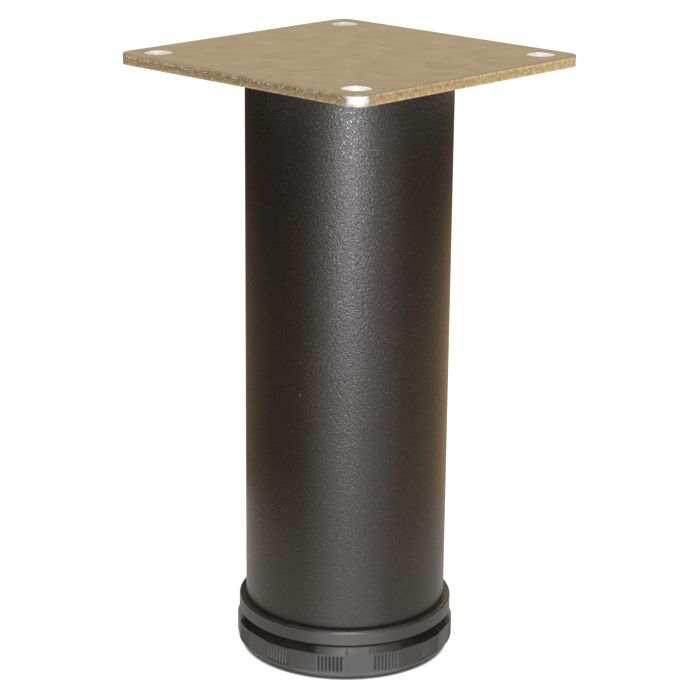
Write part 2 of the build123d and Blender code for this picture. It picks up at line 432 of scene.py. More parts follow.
def rounded(corners, steps=6, closed=True, lead_share=0.3):
    """Outline through corners of (radius, height, rounding); each rounding has a short straight lead at both ends."""
    outline = []
    for number, (radius, height, rounding) in enumerate(corners):
        here = Vector((radius, height))
        at_end = not closed and number in (0, len(corners) - 1)
        if at_end or not rounding:
            outline.append(here)
            continue
        before = Vector(corners[number - 1][:2]) - here
        after = Vector(corners[(number + 1) % len(corners)][:2]) - here
        half = before.angle(after) / 2
        reach = rounding / tan(half)
        lead = lead_share * min(rounding, max(before.length - reach, 0), max(after.length - reach, 0))
        back, on = before.normalized(), after.normalized()
        middle = here + (back + on).normalized() * rounding / sin(half)
        first, last = here + back * reach - middle, here + on * reach - middle
        outline.append(here + back * (reach + lead))
        sweep = pi - 2 * half
        for step in range(steps + 1):
            angle = sweep * step / steps
            outline.append(middle + (first * sin(sweep - angle) + last * sin(angle)) / sin(sweep))
        outline.append(here + on * (reach + lead))
    return outline


def turned(bm, outline, angles, closed=True):
    """Turns an outline round the Z axis at the given angles; a point on the axis closes to a pole."""
    rings = []
    for radius, height in outline:
        if radius < touching:
            rings.append([Vector((0, 0, height))])
        else:
            rings.append([Vector((radius * cos(angle), radius * sin(angle), height)) for angle in angles])
    return skinned(bm, rings, joined=closed)


def scattered(tree, place, scale, channel):
    """Adds a Voronoi texture; returns the distance from the middle of its cells and a number drawn for each."""
    inputs = {"Vector": place, "Scale": scale, "Randomness": 1.0}
    cells = put(tree, "ShaderNodeTexVoronoi", inputs, feature="F1").outputs
    return cells["Distance"], put(tree, "ShaderNodeSeparateColor", {0: cells["Color"]}).outputs[channel]


powder_coat, coat_tree, coat_shader = new_material(
    "black_powder_coat", Specular_IOR_Level=0.5, Coat_Roughness=0.29, Coat_IOR=1.85,
)
place = object_place(coat_tree)
coat_level = split(coat_tree, place)["Z"]
under_plate = ramped(coat_tree, coat_level, dull_start, dull_end)
pebble_reach, pebble_draw = scattered(coat_tree, place, 1 / pebble_size, 0)
pebble_steep = ramped(coat_tree, pebble_draw, 0.0, 1.0, -0.6 * pebble_slope, -1.4 * pebble_slope, "LINEAR")
pebble_height = product(coat_tree, pebble_reach, pebble_reach, pebble_steep, pebble_size / mm)
grit_reach, grit_draw = scattered(coat_tree, place, 1 / grit_size, 1)
grit_dot = ramped(coat_tree, grit_reach, 0.14, 0.40, 1.0, 0.0)
grit_pick = ramped(coat_tree, grit_draw, 0.2, 1.0, kind="LINEAR")
grit_gloss = product(coat_tree, grit_dot, product(coat_tree, grit_pick, grit_pick))
grit_share = ramped(coat_tree, coat_level, tube_low, tube_high, 0.35, 1.45, "LINEAR")
open_share = product(coat_tree, grit_share, less(coat_tree, 1.0, under_plate))
coat_tree.links.new(sums(coat_tree, "MULTIPLY", grit_gloss, open_share, clamp=True), coat_shader["Coat Weight"])
nib_reach, nib_draw = scattered(coat_tree, place, nibs_per_metre, 0)
nib_spot = ramped(coat_tree, nib_reach, 0.035, 0.06, 1.0, 0.0)
nib = product(coat_tree, nib_spot, ramped(coat_tree, nib_draw, 0.86, 0.88))
drift = ramped(coat_tree, grain(coat_tree, place, scale=45.0), 0.35, 0.65)
coat_color = blended(coat_tree, drift, coat_dark, coat_light)
coat_tree.links.new(blended(coat_tree, nib, coat_color, nib_grey), coat_shader["Base Color"])
fine_grain = grain(coat_tree, place, scale=6000.0, rough=0.6)
coat_rough = ramped(coat_tree, fine_grain, 0.3, 0.7, 0.30, 0.37, "LINEAR")
coat_tree.links.new(total(coat_tree, coat_rough, product(coat_tree, under_plate, 0.35)), coat_shader["Roughness"])
fine_heights = [product(coat_tree, *pair) for pair in ((fine_grain, 0.02), (grit_gloss, 0.02), (nib, 0.06))]
bumped(coat_tree, coat_shader, total(coat_tree, pebble_height, *fine_heights), strength=1.0, depth=1.0 * mm)

bm = bmesh.new()
tube_outline = rounded((
    (tube_radius, tube_low, tube_end_rounding),
    (tube_radius, tube_high, tube_end_rounding),
    (tube_bore, tube_high, tube_bore_rounding),
    (tube_bore, tube_low, tube_bore_rounding),
))
turned(bm, tube_outline, full_turn(tube_facets))
tube = finished(bm, "coated_tube", (powder_coat,))
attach(tube, "leg")
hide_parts("leg_tube")

# Captive nut
# A hexagon nut of steel, bright zinc plated, that is dropped into the plug's pocket from above. It is hidden inside
# the tube, so it keeps its solid and takes only a finish.
bright_tint, bright_bloom = (0.62, 0.63, 0.64, 1), (0.5, 0.51, 0.53, 1)
nut_zinc = plated(
    "nut_zinc", tint=bright_tint, bloom=bright_bloom, edge_tint=white,
    cloud_size=4 * mm, roughness=0.34, scratches=0.4, grain_depth=0.01 * mm,
)
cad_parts["captive_nut"].material_slots[0].material = nut_zinc

# Tube plug
# A black injection moulding. Its flange shows as the collar under the tube; the cup above it is pressed into the bore
# on crush ribs and has webs round the boss that holds the nut.
flange_low, plug_high = (corner[2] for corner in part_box("tube_plug"))
flange_radius = 26.7 * mm
flange_top_rounding = 0.7 * mm
flange_bottom_rounding = 0.12 * mm
cup_radius = 22.88 * mm
cup_bore = 20.68 * mm
cup_lead_in = 0.8 * mm
boss_radius = 11.66 * mm
nut_seat = flange_low + 14.0 * mm
nut_half_width = 8.02 * mm
spindle_hole = 5.4 * mm
plug_facets = 240
mouth_rounding, root_rounding, lip_rounding = 0.3 * mm, 0.4 * mm, 0.2 * mm
crush_rib_count, crush_rib_width, crush_rib_radius = 8, 1.8 * mm, 23.45 * mm
crush_rib_root, crush_rib_stop = 1.0 * mm, 1.6 * mm
web_count, web_thickness = 4, 1.8 * mm
rib_root, rib_foot, rib_softness = 0.6 * mm, 0.5 * mm, 0.15 * mm

moulding, moulding_in, moulding_out = new_group("moulded_skin", "ShaderNodeTree", (
    ("Grain Size", "IN", "Float", 0.0002),
    ("Base Roughness", "IN", "Float", 0.5),
    ("Dark", "IN", "Color", None),
    ("Light", "IN", "Color", None),
    *skin_outputs,
))
place = object_place(moulding)
spark_scale = sums(moulding, "DIVIDE", 1.0, moulding_in["Grain Size"])
spark = grain(moulding, place, spark_scale, detail=3.0, rough=0.6)
flow = ramped(moulding, grain(moulding, place, scale=110.0, detail=3.0, rough=0.55, distortion=0.8), 0.33, 0.67)
moulding.links.new(blended(moulding, flow, moulding_in["Dark"], moulding_in["Light"]), moulding_out["Color"])
flow_rough = ramped(moulding, flow, 0.0, 1.0, -0.05, 0.05, "LINEAR")
spark_rough = ramped(moulding, spark, 0.3, 0.7, -0.05, 0.05, "LINEAR")
moulded_rough = total(moulding, moulding_in["Base Roughness"], total(moulding, flow_rough, spark_rough))
moulding.links.new(moulded_rough, moulding_out["Roughness"])
moulding.links.new(spark, moulding_out["Height"])


def moulded(name, dark, light, grain_size, roughness, grain_depth):
    """Material of black moulded plastic."""
    material, tree, shader = new_material(name, Specular_IOR_Level=0.80)
    dressed(tree, shader, moulding, {
        "Dark": dark, "Light": light, "Grain Size": grain_size, "Base Roughness": roughness,
    }, strength=0.6, depth=grain_depth)
    return material


collar_dark, collar_light = (0.018, 0.0178, 0.018, 1), (0.023, 0.0226, 0.0223, 1)
collar_grain = 0.22 * mm
collar_edge = moulded("collar_edge", collar_dark, collar_light, collar_grain, roughness=0.30, grain_depth=0.006 * mm)
collar_plastic = moulded(
    "collar_plastic", collar_dark, collar_light, collar_grain, roughness=0.46, grain_depth=0.012 * mm,
)


def ended(tree, shape, inputs, outputs):
    """Ends a Geometry Nodes tree: its instances are made real and it gets its material."""
    real = put(tree, "GeometryNodeRealizeInstances", {0: shape}).outputs[0]
    done = put(tree, "GeometryNodeSetMaterial", {"Geometry": real, "Material": inputs["Material"]})
    tree.links.new(done.outputs[0], outputs["Geometry"])


def combined(tree, x=0.0, y=0.0, z=0.0):
    """Adds a Combine XYZ node and returns its vector."""
    return put(tree, "ShaderNodeCombineXYZ", {"X": x, "Y": y, "Z": z}).outputs[0]


ribs_tree, ribs_in, ribs_out = new_group("ring_of_ribs", "GeometryNodeTree", (
    ("Count", "IN", "Int", 12),
    ("First Angle", "IN", "Float", 0.0),
    ("Inner Radius", "IN", "Float", 0.01),
    ("Outer Radius", "IN", "Float", 0.02),
    ("Thickness", "IN", "Float", 0.002),
    ("Low", "IN", "Float", 0.0),
    ("High", "IN", "Float", 0.01),
    ("Material", "IN", "Material", None),
    ("Geometry", "OUT", "Geometry", None),
))
rib_step = sums(ribs_tree, "DIVIDE", 2 * pi, ribs_in["Count"])
rib_index = put(ribs_tree, "GeometryNodeInputIndex").outputs[0]
rib_angle = total(ribs_tree, ribs_in["First Angle"], product(ribs_tree, rib_index, rib_step))
rib_middle = sums(ribs_tree, "DIVIDE", total(ribs_tree, ribs_in["Inner Radius"], ribs_in["Outer Radius"]), 2.0)
rib_level = sums(ribs_tree, "DIVIDE", total(ribs_tree, ribs_in["Low"], ribs_in["High"]), 2.0)
rib_x, rib_y = (product(ribs_tree, rib_middle, sums(ribs_tree, way, rib_angle)) for way in ("COSINE", "SINE"))
rib_place = combined(ribs_tree, rib_x, rib_y, rib_level)
rib_points = put(ribs_tree, "GeometryNodePoints", {"Count": ribs_in["Count"], "Position": rib_place}).outputs[0]
rib_length = less(ribs_tree, ribs_in["Outer Radius"], ribs_in["Inner Radius"])
rib_height = less(ribs_tree, ribs_in["High"], ribs_in["Low"])
rib_size = combined(ribs_tree, rib_length, ribs_in["Thickness"], rib_height)
rib_block = put(ribs_tree, "GeometryNodeMeshCube", {"Size": rib_size}).outputs["Mesh"]
rib_turn = put(ribs_tree, "FunctionNodeEulerToRotation", {0: combined(ribs_tree, z=rib_angle)}).outputs[0]
rib_inputs = {"Points": rib_points, "Instance": rib_block, "Rotation": rib_turn}
ended(ribs_tree, put(ribs_tree, "GeometryNodeInstanceOnPoints", rib_inputs).outputs[0], ribs_in, ribs_out)


def by_nodes(tree, values, base=None):
    """Runs a Geometry Nodes tree, over a base mesh where it needs one, and returns the plain mesh that it makes."""
    holder = bpy.data.objects.new(tree.name + "_work", base or bpy.data.meshes.new(tree.name + "_work"))
    bpy.context.scene.collection.objects.link(holder)
    modifier = holder.modifiers.new(tree.name, "NODES")
    modifier.node_group = tree
    for item in tree.interface.items_tree:
        if item.in_out == "INPUT" and item.name in values:
            modifier[item.identifier] = values[item.name]
    depsgraph = bpy.context.evaluated_depsgraph_get()
    mesh = bpy.data.meshes.new_from_object(holder.evaluated_get(depsgraph), depsgraph=depsgraph)
    holder.modifiers.remove(modifier)
    bpy.data.objects.remove(holder)
    return mesh


def rib_ring_mesh(material, count, first_angle, inner, outer, thickness, low, high):
    """A ring of moulded ribs, with softened edges."""
    mesh = by_nodes(ribs_tree, {
        "Count": count, "First Angle": first_angle, "Inner Radius": inner, "Outer Radius": outer,
        "Thickness": thickness, "Low": low, "High": high, "Material": material,
    })
    ribs = bmesh.new()
    ribs.from_mesh(mesh)
    bmesh.ops.bevel(ribs, geom=ribs.edges[:], offset=rib_softness, segments=2, profile=0.5, affect="EDGES")
    ribs.to_mesh(mesh)
    ribs.free()
    return mesh


bm = bmesh.new()
plug_angles = full_turn(plug_facets)
plug_outline = rounded((
    (spindle_hole, flange_low, mouth_rounding),
    (flange_radius, flange_low, flange_bottom_rounding),
    (flange_radius, tube_low, flange_top_rounding),
    (cup_radius, tube_low, 0.0),
    (cup_radius, plug_high - cup_lead_in, 0.0),
    (cup_radius - cup_lead_in, plug_high, 0.0),
    (cup_bore, plug_high, lip_rounding),
    (cup_bore, tube_low, root_rounding),
    (boss_radius, tube_low, root_rounding),
    (boss_radius, plug_high, lip_rounding),
    (nut_half_width, plug_high, 0.0),
    (nut_half_width, nut_seat, 0.0),
    (spindle_hole, nut_seat, 0.0),
), steps=8)
plug_rows = turned(bm, plug_outline, plug_angles)
for row, (radius, height) in zip(plug_rows, plug_outline):
    if abs(radius - nut_half_width) < touching:
        for vertex, angle in zip(row, plug_angles):
            vertex.co.xy *= 1 / cos((angle % (pi / 3)) - pi / 6)
bmesh.ops.recalc_face_normals(bm, faces=bm.faces)
bm.from_mesh(rib_ring_mesh(
    collar_plastic, crush_rib_count, 0.0, inner=cup_bore + crush_rib_root, outer=crush_rib_radius,
    thickness=crush_rib_width, low=tube_low - rib_foot, high=plug_high - crush_rib_stop,
))
bm.from_mesh(rib_ring_mesh(
    collar_plastic, web_count, 0.0, inner=boss_radius - rib_root, outer=cup_bore + rib_root,
    thickness=web_thickness, low=tube_low - rib_foot, high=plug_high,
))
for face in bm.faces:
    middle = face.calc_center_median()
    near_top = tube_low - flange_top_rounding < middle.z < tube_low
    face.material_index = int(near_top and middle.xy.length > flange_radius - flange_top_rounding)
plug = finished(bm, "tube_plug_moulding", (collar_plastic, collar_edge), recalculate=False)
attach(plug, "leg")
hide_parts("tube_plug")

# Spindle
# A bright-zinc steel screw with a round head that is moulded into the foot. Its right-hand thread, of 1.5 mm pitch,
# runs up through the plug into the nut and shows when the foot is screwed out.
spindle_low, spindle_high = (corner[2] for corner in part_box("spindle"))
head_radius, head_height, head_rounding = 10.0 * mm, 3.0 * mm, 0.4 * mm
thread_radius, thread_pitch, thread_depth = 5.0 * mm, 1.5 * mm, 0.9 * mm
thread_start = 7.6 * mm
thread_margin = 0.02 * mm
thread_row = 0.125 * mm
spindle_facets = 72
end_chamfer, end_chamfer_rows, end_radius = 1.0 * mm, 8, 2.0 * mm
shank_low, shank_high = spindle_low + head_height, spindle_high - end_chamfer
shank_rows = int((shank_high - shank_low) / thread_row)

thread_tree, thread_in, thread_out = new_group("screw_thread", "GeometryNodeTree", (
    ("Geometry", "IN", "Geometry", None),
    ("Crest Radius", "IN", "Float", 0.005),
    ("Pitch", "IN", "Float", 0.0015),
    ("Depth", "IN", "Float", 0.0009),
    ("Start", "IN", "Float", 0.0),
    ("Run Out", "IN", "Float", 0.0015),
    ("Material", "IN", "Material", None),
    ("Geometry", "OUT", "Geometry", None),
))


def polar(tree):
    """The place of a mesh's points: coordinates, distance from the Z axis and angle round it."""
    spot = split(tree, put(tree, "GeometryNodeInputPosition").outputs[0])
    reach = sums(tree, "SQRT", total(tree, *(product(tree, spot[axis], spot[axis]) for axis in "XY")))
    return spot, reach, sums(tree, "ARCTAN2", spot["Y"], spot["X"])


def moved_in(tree, spot, reach, new_reach, inputs, outputs):
    """Moves a mesh's points to a new distance from the Z axis and ends the tree."""
    shrink = sums(tree, "DIVIDE", new_reach, reach)
    new_place = combined(tree, product(tree, spot["X"], shrink), product(tree, spot["Y"], shrink), spot["Z"])
    moved = put(tree, "GeometryNodeSetPosition", {"Geometry": inputs["Geometry"], "Position": new_place})
    ended(tree, moved.outputs[0], inputs, outputs)


spot, reach, angle = polar(thread_tree)
along = sums(thread_tree, "DIVIDE", spot["Z"], thread_in["Pitch"])
phase = sums(thread_tree, "FRACT", less(thread_tree, along, sums(thread_tree, "DIVIDE", angle, 2 * pi)))
from_root = size_of(thread_tree, less(thread_tree, product(thread_tree, phase, 2.0), 1.0))
cut = ramped(thread_tree, from_root, 0.2, 0.88, 1.0, 0.0, "LINEAR")
full_start = total(thread_tree, thread_in["Start"], thread_in["Run Out"])
fade = ramped(thread_tree, spot["Z"], thread_in["Start"], full_start)
cut_radius = less(thread_tree, thread_in["Crest Radius"], product(thread_tree, cut, fade, thread_in["Depth"]))
off_shank = sums(thread_tree, "GREATER_THAN", reach, total(thread_tree, thread_in["Crest Radius"], thread_margin))
thread_reach = sums(thread_tree, "MINIMUM", reach, total(thread_tree, cut_radius, off_shank))
moved_in(thread_tree, spot, reach, thread_reach, thread_in, thread_out)

spindle_zinc = plated(
    "spindle_zinc", tint=bright_tint, bloom=bright_bloom, edge_tint=white,
    cloud_size=5 * mm, roughness=0.3, scratches=0.4, grain_depth=0.008 * mm,
)
spindle_outline = rounded((
    (0.0, spindle_low, 0.0),
    (head_radius, spindle_low, head_rounding),
    (head_radius, shank_low, head_rounding),
    (thread_radius, shank_low, 0.0),
), closed=False)
for row in range(1, shank_rows + 1):
    spindle_outline.append(Vector((thread_radius, shank_low + row / shank_rows * (shank_high - shank_low))))
for row in range(1, end_chamfer_rows + 1):
    share = row / end_chamfer_rows
    spindle_outline.append(Vector((thread_radius - end_chamfer * share, spindle_high - end_chamfer * (1 - share))))
spindle_outline += [Vector((end_radius, spindle_high)), Vector((0.0, spindle_high))]


def blank_mesh(name, outline, angles):
    """A turned blank, open at neither end, for a tree to cut."""
    bm = bmesh.new()
    turned(bm, outline, angles, closed=False)
    bmesh.ops.recalc_face_normals(bm, faces=bm.faces)
    blank = bpy.data.meshes.new(name)
    bm.to_mesh(blank)
    bm.free()
    return blank


bm = bmesh.new()
bm.from_mesh(by_nodes(thread_tree, {
    "Crest Radius": thread_radius, "Pitch": thread_pitch, "Depth": thread_depth, "Start": thread_start,
    "Run Out": thread_pitch, "Material": spindle_zinc,
}, blank_mesh("spindle_blank", spindle_outline, full_turn(spindle_facets))))
spindle = finished(bm, "threaded_spindle", (spindle_zinc,), sharp=50.0)
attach(spindle, "spindle")
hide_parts("spindle")

# Foot
# A black injection moulding that is turned by hand: a shell with a boss round the spindle's head, radial ribs under
# its top, and round its wall ribbed grip zones with flat ones between them. It stands on its rim.
foot_low, foot_high = (corner[2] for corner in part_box("foot_knob"))
foot_radius = 27.2 * mm
shoulder_height, shoulder_width = 2.1 * mm, 1.65 * mm
shoulder_low = foot_high - shoulder_height
shoulder_low_rounding, shoulder_top_rounding = 0.12 * mm, 0.2 * mm
foot_bevel_height, foot_bevel_width = 2.1 * mm, 1.8 * mm
foot_bevel_rounding, rim_rounding, rim_bore_rounding = 0.15 * mm, 0.45 * mm, 0.25 * mm
rim_bore = 23.8 * mm
ceiling = 6.2 * mm
foot_boss_radius = 13.05 * mm
inside_rounding = 0.3 * mm
rib_bottom = 0.8 * mm
pocket_radius, pocket_low, pocket_high = 10.05 * mm, 2.4 * mm, 5.45 * mm
foot_bore, foot_bore_rounding = 5.05 * mm, 0.2 * mm
zone_count = 12
zone_turn = radians(5.7)
flat_distance = 26.98 * mm
flat_half_degrees, flat_edge_gap = 7.5, 0.04
grooves_per_zone = 7
groove_pitch = radians(2.0)
groove_depth = 0.36 * mm
groove_low, groove_high, groove_run_out = 2.5 * mm, 6.5 * mm, 0.25 * mm
wall_margin = 0.05 * mm
foot_rib_count, foot_rib_thickness = 12, 1.6 * mm

grip_tree, grip_in, grip_out = new_group("foot_grip", "GeometryNodeTree", (
    ("Geometry", "IN", "Geometry", None),
    ("Zone Count", "IN", "Int", 12),
    ("Zone Turn", "IN", "Float", 0.0),
    ("Flat Distance", "IN", "Float", 0.0266),
    ("Flat Half Angle", "IN", "Float", 0.13),
    ("Grooves", "IN", "Int", 7),
    ("Groove Pitch", "IN", "Float", 0.035),
    ("Groove Depth", "IN", "Float", 0.0003),
    ("Groove Low", "IN", "Float", 0.002),
    ("Groove High", "IN", "Float", 0.006),
    ("Wall Radius", "IN", "Float", 0.027),
    ("Material", "IN", "Material", None),
    ("Geometry", "OUT", "Geometry", None),
))
spot, reach, angle = polar(grip_tree)
around = less(grip_tree, angle, grip_in["Zone Turn"])
half_zone = sums(grip_tree, "DIVIDE", pi, grip_in["Zone Count"])
half_zone_back = product(grip_tree, half_zone, -1.0)
from_ribbed = sums(grip_tree, "WRAP", around, half_zone, half_zone_back)
flat_around = total(grip_tree, around, half_zone)
from_flat = size_of(grip_tree, sums(grip_tree, "WRAP", flat_around, half_zone, half_zone_back))
flat_reach = sums(grip_tree, "DIVIDE", grip_in["Flat Distance"], sums(grip_tree, "COSINE", from_flat))
off_flat = sums(grip_tree, "GREATER_THAN", from_flat, grip_in["Flat Half Angle"])
flattened = sums(grip_tree, "MINIMUM", reach, total(grip_tree, flat_reach, off_flat))
pitches = sums(grip_tree, "DIVIDE", from_ribbed, grip_in["Groove Pitch"])
from_groove = size_of(grip_tree, less(grip_tree, pitches, sums(grip_tree, "ROUND", pitches)))
half_grooves = sums(grip_tree, "DIVIDE", grip_in["Grooves"], 2.0)
in_zone = sums(grip_tree, "LESS_THAN", size_of(grip_tree, pitches), half_grooves)
on_wall = sums(grip_tree, "GREATER_THAN", reach, less(grip_tree, grip_in["Wall Radius"], wall_margin))
low_stop = total(grip_tree, grip_in["Groove Low"], groove_run_out)
high_start = less(grip_tree, grip_in["Groove High"], groove_run_out)
low_end = ramped(grip_tree, spot["Z"], grip_in["Groove Low"], low_stop)
high_end = ramped(grip_tree, spot["Z"], high_start, grip_in["Groove High"], 1.0, 0.0)
groove_form = ramped(grip_tree, from_groove, 0.02, 0.37, 1.0, 0.0)
groove = product(grip_tree, groove_form, in_zone, on_wall, low_end, high_end, grip_in["Groove Depth"])
moved_in(grip_tree, spot, reach, less(grip_tree, flattened, groove), grip_in, grip_out)

foot_grain = 0.2 * mm
foot_plastic = moulded(
    "foot_plastic", (0.018, 0.018, 0.0183, 1), (0.023, 0.0228, 0.0228, 1), foot_grain,
    roughness=0.46, grain_depth=0.012 * mm,
)
# the shoulder is glossier, and its colour is painted darker as the shade that lies on it under the collar
glossy_shoulder_painted_shade = moulded(
    "glossy_shoulder_painted_shade", (0.012, 0.0115, 0.011, 1), (0.015, 0.0145, 0.014, 1), foot_grain,
    roughness=0.30, grain_depth=0.006 * mm,
)
foot_outline = rounded((
    (0.0, rib_bottom, 0.0),
    (foot_boss_radius, rib_bottom, inside_rounding),
    (foot_boss_radius, ceiling, inside_rounding),
    (rim_bore, ceiling, inside_rounding),
    (rim_bore, foot_low, rim_bore_rounding),
    (foot_radius - foot_bevel_width, foot_low, rim_rounding),
    (foot_radius, foot_bevel_height, foot_bevel_rounding),
    (foot_radius, groove_low, 0.0),
    (foot_radius, groove_low + groove_run_out, 0.0),
    (foot_radius, groove_high - groove_run_out, 0.0),
    (foot_radius, groove_high, 0.0),
    (foot_radius, shoulder_low, shoulder_low_rounding),
    (foot_radius - shoulder_width, foot_high, shoulder_top_rounding),
    (foot_bore, foot_high, foot_bore_rounding),
    (foot_bore, pocket_high, 0.0),
    (pocket_radius, pocket_high, 0.0),
    (pocket_radius, pocket_low, 0.0),
    (0.0, pocket_low, 0.0),
), steps=8, closed=False)

# angles of a zone in degrees: wide steps over the flats, fine ones over the grooves, a close pair where they meet
flat_edge = [flat_half_degrees - flat_edge_gap, flat_half_degrees + flat_edge_gap]
fine_steps = [0.25 * step for step in range(-29, 30)]
zone_offsets = [*range(-15, -7), *(-edge for edge in reversed(flat_edge)), *fine_steps, *flat_edge, *range(8, 15)]
foot_angles = []
for zone_middle in full_turn(zone_count):
    foot_angles += [zone_turn + zone_middle + radians(offset) for offset in zone_offsets]
bm = bmesh.new()
bm.from_mesh(by_nodes(grip_tree, {
    "Zone Count": zone_count, "Zone Turn": zone_turn, "Flat Distance": flat_distance,
    "Flat Half Angle": radians(flat_half_degrees), "Grooves": grooves_per_zone, "Groove Pitch": groove_pitch,
    "Groove Depth": groove_depth, "Groove Low": groove_low, "Groove High": groove_high, "Wall Radius": foot_radius,
    "Material": foot_plastic,
}, blank_mesh("foot_blank", foot_outline, foot_angles)))
bm.from_mesh(rib_ring_mesh(
    foot_plastic, foot_rib_count, zone_turn, inner=foot_boss_radius - rib_root, outer=rim_bore + rib_root,
    thickness=foot_rib_thickness, low=rib_bottom, high=ceiling + rib_foot,
))
for face in bm.faces:
    middle = face.calc_center_median()
    face.material_index = int(middle.z > shoulder_low and middle.xy.length > foot_boss_radius)
foot = finished(bm, "grip_foot", (foot_plastic, glossy_shoulder_painted_shade), sharp=32.0, recalculate=False)
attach(foot, "foot")
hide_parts("foot_knob")

# Floor and light
# A pale matt floor that glows, follows the foot and keeps the leg's shadow, with two low lamps in front and one
# above.
# Two bent cards beside the leg and a dark one over the foot shape what its gloss mirrors, and flags keep the low
# lamps off the plate.
floor_radius, floor_drop = 4.0, 0.2 * mm
floor_grey = (0.86, 0.86, 0.86, 1)
rim_print, rim_clear = 25.5 * mm, 26.4 * mm
hollow_print, hollow_clear = 22.0 * mm, 23.0 * mm
floor_lift = 0.80
warm_start, warm_end = 45.0 * mm, 80.0 * mm
near_start, near_end = 60.0 * mm, 200.0 * mm
far_start, far_end = 300.0 * mm, 460.0 * mm
near_bright, middle_dim, far_gain, side_level = 1.40, 0.45, 0.45, 0.44
warm_near, warm_far, cool_front = (1.0, 0.97, 0.91, 1), (1.0, 0.80, 0.53, 1), (1.0, 0.99, 1.0, 1)
front_azimuth = 47.0
sky_light, sky_seen = 0.35, 0.65
lamp_aim = Vector((0, 0, 85.0 * mm))


def at_azimuth(degrees, reach, height):
    """A point round the leg; azimuths count from -Y towards +X."""
    return Vector((reach * sin(radians(degrees)), -reach * cos(radians(degrees)), height))


def ray_kinds(tree):
    """Adds a Light Path node; returns 1 for camera rays, and 1 for what gloss and glass show."""
    rays = put(tree, "ShaderNodeLightPath").outputs
    return rays["Is Camera Ray"], sums(tree, "MAXIMUM", rays["Is Glossy Ray"], rays["Is Transmission Ray"])


def vectors(tree, operation, *values):
    """Adds a Vector Math node and returns its outputs."""
    return put(tree, "ShaderNodeVectorMath", dict(enumerate(values)), operation=operation).outputs


def one_sided(tree):
    """Lets a material show only on the side that its faces point to."""
    from_behind = put(tree, "ShaderNodeNewGeometry").outputs["Backfacing"]
    clear = put(tree, "ShaderNodeBsdfTransparent").outputs[0]
    surface = tree.nodes["Principled BSDF"].outputs[0]
    shown = put(tree, "ShaderNodeMixShader", {0: from_behind, 1: surface, 2: clear}).outputs[0]
    tree.links.new(shown, tree.nodes["Material Output"].inputs["Surface"])


# the floor glows: evenly white where the camera sees it, but not under the foot's rim; in what the leg's gloss
# mirrors it glows brighter in front of the leg and warm beside it, a painted reflection of light; under the foot's
# hollow it glows for every ray, a painted light on the foot's underside
floor_paint, floor_tree, floor_shader = new_material(
    "pale_floor", Base_Color=floor_grey, Roughness=0.9, Specular_IOR_Level=0.0,
)
place = object_place(floor_tree)
floor_seen, floor_mirrored = ray_kinds(floor_tree)
floor_reach = vectors(floor_tree, "LENGTH", place)["Value"]
floor_way = vectors(floor_tree, "NORMALIZE", place)["Vector"]
in_front = vectors(floor_tree, "DOT_PRODUCT", floor_way, at_azimuth(front_azimuth, 1.0, 0.0))["Value"]
front_floor = ramped(floor_tree, in_front, 0.78, 0.98)
warm_floor = blended(floor_tree, ramped(floor_tree, floor_reach, warm_start, warm_end), warm_near, warm_far)
mirrored_color = blended(floor_tree, front_floor, warm_floor, cool_front)
floor_tree.links.new(blended(floor_tree, floor_mirrored, white, mirrored_color), floor_shader["Emission Color"])
near_level = ramped(floor_tree, floor_reach, near_start, near_end, near_bright, middle_dim)
far_level = ramped(floor_tree, floor_reach, far_start, far_end, 0.0, far_gain)
front_level = total(floor_tree, near_level, far_level)
mirrored_level = ramped(floor_tree, front_floor, 0.0, 1.0, side_level, front_level, "LINEAR")
seen_lift = product(floor_tree, floor_seen, floor_lift)
lift_level = total(floor_tree, seen_lift, product(floor_tree, floor_mirrored, mirrored_level))
open_lift = product(floor_tree, lift_level, ramped(floor_tree, floor_reach, rim_print, rim_clear))
hollow_lift = ramped(floor_tree, floor_reach, hollow_print, hollow_clear, floor_lift, 0.0)
floor_tree.links.new(total(floor_tree, open_lift, hollow_lift), floor_shader["Emission Strength"])
one_sided(floor_tree)
bm = bmesh.new()
bmesh.ops.create_circle(bm, cap_ends=True, segments=96, radius=floor_radius)
floor = finished(bm, "floor", (floor_paint,))
floor.location.z = -floor_drop
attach(floor, "spindle")

world = bpy.data.worlds.new("studio")
world.use_nodes = True
sky_tree = world.node_tree
sky = sky_tree.nodes["Background"].inputs
sky["Color"].default_value = white
sky_shown = product(sky_tree, sums(sky_tree, "MAXIMUM", *ray_kinds(sky_tree)), sky_seen)
sky_tree.links.new(total(sky_tree, sky_light, sky_shown), sky["Strength"])
bpy.context.scene.world = world


def soft_lamp(name, azimuth, elevation, distance, width, height, power, color):
    """A soft lamp that faces the middle of the leg."""
    lamp = bpy.data.lights.new(name, "AREA")
    lamp.shape = "RECTANGLE"
    lamp.size, lamp.size_y, lamp.energy, lamp.color = width, height, power, color
    holder = bpy.data.objects.new(name, lamp)
    direction = at_azimuth(azimuth, cos(radians(elevation)), sin(radians(elevation)))
    holder.location = lamp_aim + distance * direction
    holder.rotation_euler = direction.to_track_quat("Z", "Y").to_euler()
    holder.visible_camera = False
    bpy.context.scene.collection.objects.link(holder)
    return holder


front_lamps = [
    soft_lamp("camera_side_lamp", azimuth=48.0, elevation=0.5, distance=0.75, width=0.36, height=0.11, power=1.4,
              color=(0.95, 0.94, 1.0)),
    soft_lamp("low_front_lamp", azimuth=44.0, elevation=-3.5, distance=0.60, width=0.22, height=0.05, power=1.05,
              color=(0.98, 0.97, 1.0)),
]
soft_lamp("high_front_lamp", azimuth=52.0, elevation=50.0, distance=0.7, width=0.35, height=0.20, power=1.2,
          color=(1.0, 0.97, 0.92))

